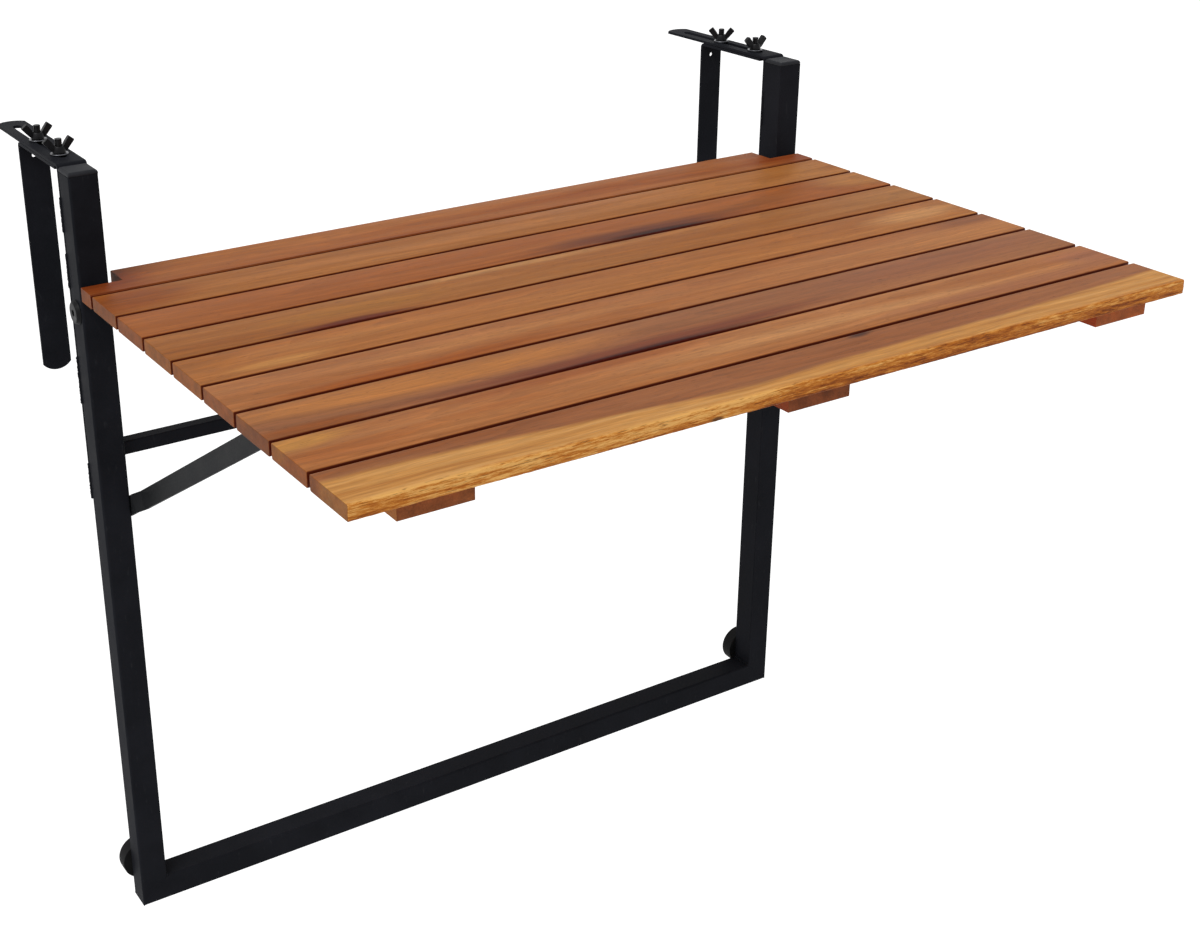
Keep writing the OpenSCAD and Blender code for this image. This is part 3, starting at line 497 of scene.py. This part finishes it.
# A planed board: a rounded section swept along X with, where it is asked for, a torn front
board, size, out = new_tree("planed board", {
    "Centre": "Vector", "Length": "Float", "Width": "Float", "Thickness": "Float", "Rounding": "Float",
    "Step": "Float", "Around": "Float", "Torn": "Float", "Material": "Material"})
section = add(board, "GeometryNodeCurvePrimitiveQuadrilateral",
              {"Width": size["Width"], "Height": size["Thickness"]})
section = add(board, "GeometryNodeFilletCurve", {"Curve": section.outputs[0], "Radius": size["Rounding"],
                                                 "Count": 5, "Limit Radius": True}, mode="POLY")
section = add(board, "GeometryNodeSubdivideCurve", {0: section.outputs[0], "Cuts": 1})
fine = add(board, "GeometryNodeResampleCurve", {"Curve": section.outputs[0], "Length": size["Around"]},
           mode="LENGTH")
is_torn = add(board, "FunctionNodeCompare", {0: size["Torn"], 1: 0.0}, operation="GREATER_THAN")
section = add(board, "GeometryNodeSwitch", {"Switch": is_torn.outputs[0], "False": section.outputs[0],
                                            "True": fine.outputs[0]}, input_type="GEOMETRY")
half_length = add(board, "ShaderNodeMath", {0: size["Length"], 1: 0.5}, operation="MULTIPLY")
reach = add(board, "ShaderNodeCombineXYZ", {"X": half_length.outputs[0]})
start = add(board, "ShaderNodeVectorMath", {0: size["Centre"], 1: reach.outputs[0]}, operation="SUBTRACT")
finish = add(board, "ShaderNodeVectorMath", {0: size["Centre"], 1: reach.outputs[0]}, operation="ADD")
line = add(board, "GeometryNodeCurvePrimitiveLine", {"Start": start.outputs[0], "End": finish.outputs[0]})
line = add(board, "GeometryNodeResampleCurve", {"Curve": line.outputs[0], "Length": size["Step"]},
           mode="LENGTH")
solid = add(board, "GeometryNodeCurveToMesh", {
    "Curve": line.outputs[0], "Profile Curve": section.outputs[0], "Fill Caps": True})
# The torn front: ridges along the board and deeper bites, cut inwards only, 4.5 mm from the edge at most
place = add(board, "GeometryNodeInputPosition")
local = add(board, "ShaderNodeVectorMath", {0: place.outputs[0], 1: size["Centre"]}, operation="SUBTRACT")
local = add(board, "ShaderNodeSeparateXYZ", {0: local.outputs[0]})
half_width = add(board, "ShaderNodeMath", {0: size["Width"], 1: -0.5}, operation="MULTIPLY")
from_front = add(board, "ShaderNodeMath", {0: local.outputs["Y"], 1: half_width.outputs[0]},
                 operation="SUBTRACT")
near = add(board, "ShaderNodeMapRange", {"Value": from_front.outputs[0], "From Min": 0.0,
                                         "From Max": 0.0045, "To Min": 1.0, "To Max": 0.0})
long_way = add(board, "ShaderNodeVectorMath", {0: place.outputs[0], 1: (170, 500, 900)},
               operation="MULTIPLY")
ridges = add(board, "ShaderNodeTexNoise", {"Vector": long_way.outputs[0], "Scale": 1.0, "Detail": 3.0,
                                           "Roughness": 0.6})
wide = add(board, "ShaderNodeVectorMath", {0: place.outputs[0], 1: (14, 0, 60)}, operation="MULTIPLY")
bites = add(board, "ShaderNodeTexNoise", {"Vector": wide.outputs[0], "Scale": 1.0, "Detail": 2.0})
cut = add(board, "ShaderNodeMath", {0: ridges.outputs["Fac"], 1: bites.outputs["Fac"]}, operation="ADD")
cut = add(board, "ShaderNodeMapRange", {"Value": cut.outputs[0], "From Min": 0.65, "From Max": 1.35})
cut = add(board, "ShaderNodeMath", {0: cut.outputs[0], 1: near.outputs[0]}, operation="MULTIPLY")
cut = add(board, "ShaderNodeMath", {0: cut.outputs[0], 1: size["Torn"]}, operation="MULTIPLY")
move = add(board, "ShaderNodeCombineXYZ", {"Y": cut.outputs[0]})
solid = add(board, "GeometryNodeSetPosition", {"Geometry": solid.outputs[0], "Offset": move.outputs[0]})
finish_tree(board, solid.outputs[0], size, out)

# Heads on points: every screw has turned to its own angle
heads, size, out = new_tree("screws on points", {
    "Head": "Object", "Tilt": "Rotation", "Seed": "Int", "Material": "Material"})
head = add(heads, "GeometryNodeObjectInfo", {"Object": size["Head"]})
turned = add(heads, "GeometryNodeInstanceOnPoints", {"Points": size["Geometry"],
                                                     "Instance": head.outputs["Geometry"],
                                                     "Rotation": size["Tilt"]})
angle = add(heads, "FunctionNodeRandomValue", {"Min": (0, 0, 0), "Max": (0, 0, 1.57),
                                               "Seed": size["Seed"]}, data_type="FLOAT_VECTOR")
turned = add(heads, "GeometryNodeRotateInstances", {"Instances": turned.outputs[0],
                                                    "Rotation": angle.outputs["Value"],
                                                    "Local Space": True})
finish_tree(heads, turned.outputs[0], size, out)

# A weld bead: overlapping drops of metal along a line
bead, size, out = new_tree("weld bead", {
    "Pitch": "Float", "Radius": "Float", "Seed": "Int", "Material": "Material"})
path = add(bead, "GeometryNodeMeshToCurve", {0: size["Geometry"]})
path = add(bead, "GeometryNodeResampleCurve", {"Curve": path.outputs[0], "Length": size["Pitch"]},
           mode="LENGTH")
drop = add(bead, "GeometryNodeMeshIcoSphere", {"Radius": size["Radius"], "Subdivisions": 2})
swing = add(bead, "FunctionNodeRandomValue", {2: 0.82, 3: 1.12, "Seed": size["Seed"]}, data_type="FLOAT")
drops = add(bead, "GeometryNodeInstanceOnPoints", {"Points": path.outputs[0], "Instance": drop.outputs[0],
                                                   "Scale": swing.outputs[1]})
finish_tree(bead, drops.outputs[0], size, out)

# A threaded rod: the radius rises and falls once in each pitch along the line
thread, size, out = new_tree("threaded rod", {
    "Diameter": "Float", "Pitch": "Float", "Depth": "Float", "Material": "Material"})
half_pitch = add(thread, "ShaderNodeMath", {0: size["Pitch"], 1: 0.5}, operation="MULTIPLY")
path = add(thread, "GeometryNodeMeshToCurve", {0: size["Geometry"]})
path = add(thread, "GeometryNodeResampleCurve", {"Curve": path.outputs[0],
                                                 "Length": half_pitch.outputs[0]}, mode="LENGTH")
count = add(thread, "GeometryNodeInputIndex")
even = add(thread, "ShaderNodeMath", {0: count.outputs[0], 1: 2.0}, operation="MODULO")
dip = add(thread, "ShaderNodeMath", {0: even.outputs[0], 1: size["Depth"]}, operation="MULTIPLY")
outer = add(thread, "ShaderNodeMath", {0: size["Diameter"], 1: 0.5}, operation="MULTIPLY")
radius = add(thread, "ShaderNodeMath", {0: outer.outputs[0], 1: dip.outputs[0]}, operation="SUBTRACT")
ring = add(thread, "GeometryNodeCurvePrimitiveCircle", {"Resolution": 20, "Radius": 1.0})
rod = add(thread, "GeometryNodeCurveToMesh", {"Curve": path.outputs[0], "Profile Curve": ring.outputs[0],
                                              "Fill Caps": True, "Scale": radius.outputs[0]})
finish_tree(thread, rod.outputs[0], size, out)


def screw_head(name, radius, dome, skirt, foot):
    """A screw head with a real cross recess, its top towards +Z at z = 0, in mm. Its rim lies dome below
    the top, its side is skirt high, and its underside has the share foot of the radius."""
    shape = bmesh.new()
    turns = [a * math.pi / 12 for a in range(24)]
    rim = [shape.verts.new((radius * math.cos(t), radius * math.sin(t), -dome)) for t in turns]
    arm, wing, depth = radius * 0.6, radius * 0.16, radius * 0.45
    cross = []
    for q in range(4):
        turn = Matrix.Rotation(q * math.pi / 2, 3, "Z")
        for p in ((wing, wing, 0), (wing, arm, 0), (-wing, arm, 0)):
            cross.append(shape.verts.new(turn @ Vector(p)))
    edges = [shape.edges.new((a, b)) for ring in (rim, cross) for a, b in zip(ring, ring[1:] + ring[:1])]
    bmesh.ops.triangle_fill(shape, use_beauty=True, edges=edges)
    well = [shape.verts.new((v.co.x * 0.8, v.co.y * 0.8, -depth)) for v in cross]
    low = [shape.verts.new((v.co.x * foot, v.co.y * foot, -dome - skirt)) for v in rim]
    for upper, lower in ((cross, well), (rim, low)):
        for a, b, c, d in zip(upper, upper[1:] + upper[:1], lower[1:] + lower[:1], lower):
            shape.faces.new((a, b, c, d))
        shape.faces.new(lower)
    bmesh.ops.recalc_face_normals(shape, faces=shape.faces)
    bmesh.ops.scale(shape, vec=(MM, MM, MM), verts=shape.verts)
    mesh = bpy.data.meshes.new(name)
    shape.to_mesh(mesh)
    shape.free()
    made = bpy.data.objects.new(name, mesh)
    scene.collection.objects.link(made)
    return made


def lathe(shape, profile, place=Matrix.Identity(4)):
    """Turns a closed profile of (radius, height) points round the Z axis, in mm, into a ring, and moves
    it to its place."""
    count = 32
    turns = [a * 2 * math.pi / count for a in range(count)]
    rings = [[shape.verts.new((r * math.cos(t), r * math.sin(t), z)) for t in turns] for r, z in profile]
    for i, ring in enumerate(rings):
        above = rings[(i + 1) % len(rings)]
        for a in range(count):
            b = (a + 1) % count
            shape.faces.new((ring[a], ring[b], above[b], above[a]))
    bmesh.ops.transform(shape, matrix=place, verts=[v for ring in rings for v in ring])


def rounded(points, steps):
    """A closed smooth curve through the points."""
    count, line = len(points), []
    for i in range(count):
        p = [Vector(points[(i + j) % count]) for j in (-1, 0, 1, 2)]
        for step in range(steps):
            t = step / steps
            line.append(0.5 * (2 * p[1] + (p[2] - p[0]) * t
                               + (2 * p[0] - 5 * p[1] + 4 * p[2] - p[3]) * t * t
                               + (3 * p[1] - p[0] - 3 * p[2] + p[3]) * t ** 3))
    return line


def as_mesh(shape, name, place=Matrix.Identity(4)):
    """Ends a shape drawn in mm: puts it in place and makes it a mesh in metres."""
    bmesh.ops.recalc_face_normals(shape, faces=shape.faces)
    bmesh.ops.transform(shape, matrix=Matrix.Scale(MM, 4) @ place, verts=shape.verts)
    mesh = bpy.data.meshes.new(name)
    shape.to_mesh(mesh)
    shape.free()
    for p in mesh.polygons:
        p.use_smooth = True
    mesh.set_sharp_from_angle(angle=math.radians(35))
    return mesh


# A wing nut's hub and the outline of one wing, as (distance from the axis, height)
HUB = [(2.6, 0), (4.1, 0), (4.5, 0.4), (4.4, 1.2), (3.95, 3.9), (3.5, 4.55), (2.9, 4.7), (2.55, 4.4)]
WING = [(2.7, 0.9), (4.3, 0.8), (5.7, 2.0), (7.8, 4.4), (9.9, 6.8), (10.4, 7.5), (10.15, 8.05),
        (7.65, 10.15), (7.1, 10.3), (6.5, 9.7), (4.6, 7.3), (3.5, 5.6), (2.7, 4.0)]


def wing_nut(side, end, x, y, turn):
    """A cast wing nut: a bored hub and two blunt square-ended wings that spread upwards."""
    node = "%s_%s_wing_nut" % (side, end)
    shape = bmesh.new()
    lathe(shape, HUB)
    outline = rounded(WING, 4)
    # Each wing grows thinner outwards
    for way in (1, -1):
        front, back = [[shape.verts.new((way * p.x, f * (1.9 - 0.04 * p.x), p.y)) for p in outline]
                       for f in (-1, 1)]
        wing = [shape.faces.new(front), shape.faces.new(back)]
        for i in range(len(outline)):
            j = (i + 1) % len(outline)
            shape.faces.new((front[i], front[j], back[j], back[i]))
        rims = {e for f in wing for e in f.edges}
        bmesh.ops.bevel(shape, geom=list(rims), offset=0.5, segments=3, affect="EDGES", profile=0.5)
    # Where the bevel's strips run together, what is left has no area and is dissolved
    bmesh.ops.remove_doubles(shape, verts=shape.verts, dist=0.02)
    bmesh.ops.dissolve_degenerate(shape, edges=shape.edges, dist=0.01)
    place = Matrix.Translation((x, y, NUT_Z)) @ Matrix.Rotation(math.radians(turn), 4, "Z")
    link_piece(node + "_cast", as_mesh(shape, node + "_cast", place), "%s_%s_nut" % (side, end),
               [node], black_zinc)


# The pieces

# Sizes and places of the CAD nodes, in mm
POST_X, POST_W, POST_REAR, HINGE_Z, PAD_Z = 290, 20, -2, -92.5, -538
POST_FRONT, POST_MID = POST_REAR - POST_W, POST_REAR - POST_W / 2
POST_OUT, POST_IN = POST_X + POST_W / 2, POST_X - POST_W / 2
CROSS_TOP, CROSS_LOW, BAR_TOP = -191, -201, -545
STUD_Y = {"front": 22.5, "rear": 66}
NUT_Z, STUD_TOP = 5.5, 14.9
SLATS, SLAT_L, SLAT_W, SLAT_T, PITCH, TOP_REAR, TOP_Z = 9, 600, 41.5, 9.5, 44.5, -1, -72.0
SLAT_Y = {k: TOP_REAR - PITCH * (k - 1) - SLAT_W / 2 for k in range(1, SLATS + 1)}
BATTEN_W, BATTEN_X, BATTEN_Y, BATTEN_TOP, BATTEN_LOW = 45.0, 248.5, -209.5, TOP_Z - SLAT_T, -91
FOOT_SCREW_X, FOOT_SCREW_Y, FOOT_SCREW_Z = 258, (-35, -55, -235, -255), -95

# The steel frame
for side in ("left", "right"):
    softened(side + "_post_tube", side + "_post", "frame", frame_coat, 1.7, 4, along=2,
             rest=0.12)
    softened(side + "_post_end_cap", side + "_post_cap", "frame", cap_plastic, 0.7, 3)
    softened(side + "_hook", side + "_hook_bar", "frame", frame_coat, 0.4, 3)
    softened(side + "_pad", side + "_bumper_pad", "frame", rubber, 0.4, 2)
    softened(side + "_hinge_bolt", side + "_pivot_bolt", "frame", bolt_zinc, 0.5, 3)
    softened(side + "_clamp_plate", side + "_rail_clamp", side + "_clamp", frame_coat,
             0.4, 3)
    softened(side + "_clamp_washer_pair", side + "_clamp_washers", side + "_clamp",
             washer_metal_with_painted_glint, 0.42, 2)
    softened(side + "_bracket", side + "_hinge_bracket", "top", frame_coat, 0.45, 2)
    softened(side + "_catch", side + "_brace_catch", "top", frame_coat, 0.35, 2)
    softened(side + "_brace_bar", side + "_brace", side + "_brace_arm", brace_coat, 0.6, 3)
    softened(side + "_brace_peg", side + "_brace_pin", side + "_brace_arm", zinc, 0.4, 2)
softened("lower_bar", "bottom_bar", "frame", frame_coat, 1.7, 4, along=0, rest=0.12)
softened("cross_rail", "crossbar", "frame", frame_coat, 1.0, 3, along=0, rest=0.1)
softened("hinge_spacers", "pivot_spacers", "frame", black_zinc, 0.25, 2)
softened("hinge_lock_nuts", "pivot_nuts", "frame", zinc, 0.35, 2)
softened("brace_pivot_studs", "brace_studs", "frame", black_zinc, 0.3, 2)
softened("brace_thin_nuts", "brace_nuts", "frame", zinc, 0.3, 2)

# The tabletop: nine slats and three battens
SLAT_TONES = {
    1: ("#88410d", "#9a5726", "#a56533"), 2: ("#8f521b", "#a0622c", "#ad6f38"),
    3: ("#8f4a1a", "#9a5624", "#a25f2d"), 4: ("#945623", "#9c5f2a", "#a46b38"),
    5: ("#9b5c28", "#a96933", "#b4763c"), 6: ("#9c5b29", "#a66839", "#b17340"),
    7: ("#8a5331", "#955e39", "#a3683e"), 8: ("#9d5a28", "#aa6b39", "#b97b49"),
    9: ("#884b20", "#925730", "#9c623a")}
STREAKS = {
    1: [(0, 0.8, 260, 0.5, "#a3673b", 0.7), (-285, 0, 55, 1.6, "#772e09", 0.85),
        (285, -0.2, 50, 1.4, "#7c2c12", 0.6)],
    2: [(-285, 0, 60, 1.6, "#833d0b", 0.8), (-20, 0.05, 300, 0.55, "#ae703c", 0.7),
        (60, 0.8, 120, 0.4, "#a56b41", 0.6), (285, -0.2, 30, 1.2, "#ab7038", 0.6)],
    3: [(70, -0.6, 130, 0.75, "#623322", 0.9), (95, -0.95, 70, 0.4, "#240b0b", 0.9),
        (285, 0.3, 50, 1.3, "#ae733a", 0.8), (170, -0.1, 60, 0.6, "#7e471f", 0.6)],
    4: [(-190, -0.85, 60, 0.3, "#510a0a", 0.85), (-60, 0.85, 150, 0.3, "#bb854e", 0.75),
        (-160, 0, 90, 0.7, "#a36a2b", 0.6), (280, 0.1, 60, 0.9, "#a46c38", 0.6)],
    5: [(-100, 0.75, 200, 0.5, "#a05e28", 0.75), (-235, -0.5, 50, 0.4, "#bb8143", 0.8),
        (265, 0.1, 60, 0.8, "#c48b54", 0.85), (-280, 0.6, 30, 0.8, "#975921", 0.6)],
    6: [(-190, -0.75, 150, 0.4, "#974d15", 0.85), (-120, 0.1, 150, 0.5, "#b2743f", 0.7),
        (280, 0.7, 60, 1, "#87502f", 0.8), (60, 0.4, 60, 0.4, "#a36337", 0.5)],
    7: [(-190, 0.45, 190, 0.95, "#b57235", 0.9), (-60, -0.65, 210, 0.5, "#723622", 0.85),
        (-70, -0.97, 130, 0.3, "#300a0c", 0.92), (190, 0.2, 190, 1.3, "#8e5637", 0.8),
        (-270, -0.8, 60, 0.4, "#8a450c", 0.7)],
    8: [(-285, 0.7, 45, 0.5, "#c2863e", 0.9), (-110, 0.75, 140, 0.5, "#975120", 0.85),
        (60, 0, 180, 0.45, "#bd8450", 0.8), (-270, -0.4, 60, 0.6, "#a55c28", 0.6),
        (200, -0.6, 150, 0.5, "#9a5f3d", 0.8), (285, 0.1, 45, 1.2, "#9d6144", 0.7)],
    9: [(54, 1.0, 16, 0.3, "#3a211b", 0.85), (-285, 0.3, 60, 0.6, "#a1693e", 0.7),
        (285, 0.6, 60, 0.6, "#9d643f", 0.6)]}
SLAT_ENDS = ["#6d3b16", "#693916", "#6f3b16", "#814a1c", "#794218", "#723a14", "#643210", "#743c15",
             "#6b3915"]
for k, middle in SLAT_Y.items():
    name, node, torn = "slat_%d_planed" % k, "slat_%d" % k, k == SLATS
    oiled = acacia("oiled acacia, slat %d" % k, SLAT_TONES[k], (0, middle, TOP_Z, SLAT_W / 2), k * 1.37,
                   SLAT_ENDS[k - 1], STREAKS[k], torn)
    if k == 1:
        # The rear slat is notched round the posts, so it is made from its node
        softened(name, node, "top", oiled, 0.5, 2)
        continue
    shape = grow(name, board, [(0, 0, 0)], bevel=0.5, Length=SLAT_L * MM, Width=SLAT_W * MM,
                 Thickness=SLAT_T * MM, Centre=(0, middle * MM, (TOP_Z - SLAT_T / 2) * MM),
                 Rounding=1.0 * MM, Step=(1.5 if torn else 12.0) * MM, Around=0.8 * MM,
                 Torn=(0.9 if torn else 0) * MM, Material=oiled)
    link_piece(name, shape, "top", [node])

for name, x, tones, sawn_side, front_end in (
        ("left", -BATTEN_X, ("#793a0d", "#8e5027", "#9e643a"), "#b06f2e", "#92502b"),
        ("middle", 0, ("#7b3a12", "#894a23", "#985b36"), "#984826", "#7c4224"),
        ("right", BATTEN_X, ("#853a0d", "#954c1f", "#a86537"), "#a34521", "#a6572a")):
    oiled = acacia("oiled acacia, %s batten" % name, tones, (-BATTEN_Y, x, BATTEN_TOP, BATTEN_W / 2),
                   x * 0.01 + 5, front_end, edge_tone_and_groove_shade=sawn_side, crosswise=True)
    softened(name + "_batten_sawn", name + "_batten", "top", oiled, 0.6, 2)

# Screws. The rear slat's row lies in front of the hinge brackets
ROWS = [-34.0] + [SLAT_Y[k] for k in range(2, SLATS + 1)]
DOWN, BACK = (math.pi, 0, 0), (-math.pi / 2, 0, 0)
for name, node, body, tilt, seed, form, places in (
        ("slat_screw_heads", "slat_screws", "top", DOWN, 3, (3.45, 0.12, 1.6, 0.5),
         [(x, y, BATTEN_LOW) for x in (-BATTEN_X, 0, BATTEN_X) for y in ROWS]),
        ("bracket_screw_heads", "bracket_screws", "top", DOWN, 5, (3.4, 1.0, 0.95, 1.0),
         [(x, y, FOOT_SCREW_Z) for x in (-FOOT_SCREW_X, FOOT_SCREW_X) for y in FOOT_SCREW_Y]),
        ("pad_screw_heads", "pad_screws", "frame", BACK, 7, (4.4, 0.8, 2.1, 1.0),
         [(x, POST_REAR + 10, PAD_Z) for x in (-POST_X, POST_X)])):
    head = screw_head("screw_head", *form)
    shape = grow(name, heads, places, Head=head, Tilt=tilt, Seed=seed, Material=zinc)
    link_piece(name, shape, body, [node])
    bpy.data.objects.remove(head)

# Wing nuts, each on a threaded stud
STUD_FOOT = [(0.4, 0), (3.7, 0), (3.95, 0.25), (3.95, 1.2), (0.4, 1.2)]
for side, sign in (("left", -1), ("right", 1)):
    x = sign * POST_X
    for end, y in STUD_Y.items():
        wing_nut(side, end, x, y, -40 if (side, end) == ("right", "rear") else 0)
    ends = [(x, y, z) for y in STUD_Y.values() for z in (0.1, STUD_TOP - 0.1)]
    rods = grow(side + "_studs", thread, ends, [(0, 1), (2, 3)], Diameter=4.95 * MM, Pitch=0.8 * MM,
                Depth=0.42 * MM, Material=black_zinc)
    shape = bmesh.new()
    for y in STUD_Y.values():
        lathe(shape, STUD_FOOT, Matrix.Translation((x, y, 0)))
    feet = as_mesh(shape, "feet")
    shape = bmesh.new()
    shape.from_mesh(rods)
    shape.from_mesh(feet)
    shape.to_mesh(rods)
    shape.free()
    link_piece(side + "_threaded_studs", rods, side + "_clamp", [side + "_clamp_studs"],
               black_zinc)

# Welds: short runs where each hook bar lies on its post, round the cross rail's ends, and in the
# corners. The beads lie a little inside the faces that they join
OUTER_RUNS = ((-18, -40), (-56, -78), (-128, -160), (-206, -231))
INNER_RUNS = ((-24, -50), (-140, -168), (-208, -231))
seams = []
for sign in (-1, 1):
    for x, runs in ((POST_OUT, OUTER_RUNS), (POST_IN, INNER_RUNS)):
        seams += [[(sign * x, POST_REAR, z) for z in run] for run in runs]
    near, corner = sign * (POST_IN - 0.2), sign * (POST_IN - 0.3)
    y0, y1 = POST_REAR - 9.5, POST_REAR - 0.5
    seams += [[(near, y0, CROSS_TOP), (near, y1, CROSS_TOP)],
              [(near, y0 - 0.5, CROSS_TOP - 0.5), (near, y0 - 0.5, CROSS_LOW + 0.5)],
              [(near, y0, CROSS_LOW), (near, y1, CROSS_LOW)],
              [(corner, POST_FRONT + 1, BAR_TOP + 0.3), (corner, POST_REAR - 1, BAR_TOP + 0.3)]]
points = [p for seam in seams for p in seam]
beads = grow("weld_beads", bead, points, [(2 * i, 2 * i + 1) for i in range(len(seams))],
             Pitch=1.1 * MM, Radius=1.15 * MM, Seed=11, Material=frame_coat)
link_piece("weld_beads", beads, "frame", [])

# The nylon ring that shows at the open end of each hinge bolt's lock nut
RING_X = 269.2
shape = bmesh.new()
for sign in (-1, 1):
    place = (Matrix.Translation((sign * RING_X, POST_MID, HINGE_Z))
             @ Matrix.Rotation(-sign * math.pi / 2, 4, "Y"))
    lathe(shape, [(2.95, 0), (4.1, 0), (4.2, 0.25), (3.9, 0.6), (3.1, 0.7)], place)
link_piece("lock_nut_rings", as_mesh(shape, "lock_nut_rings"), "frame", [], nylon)
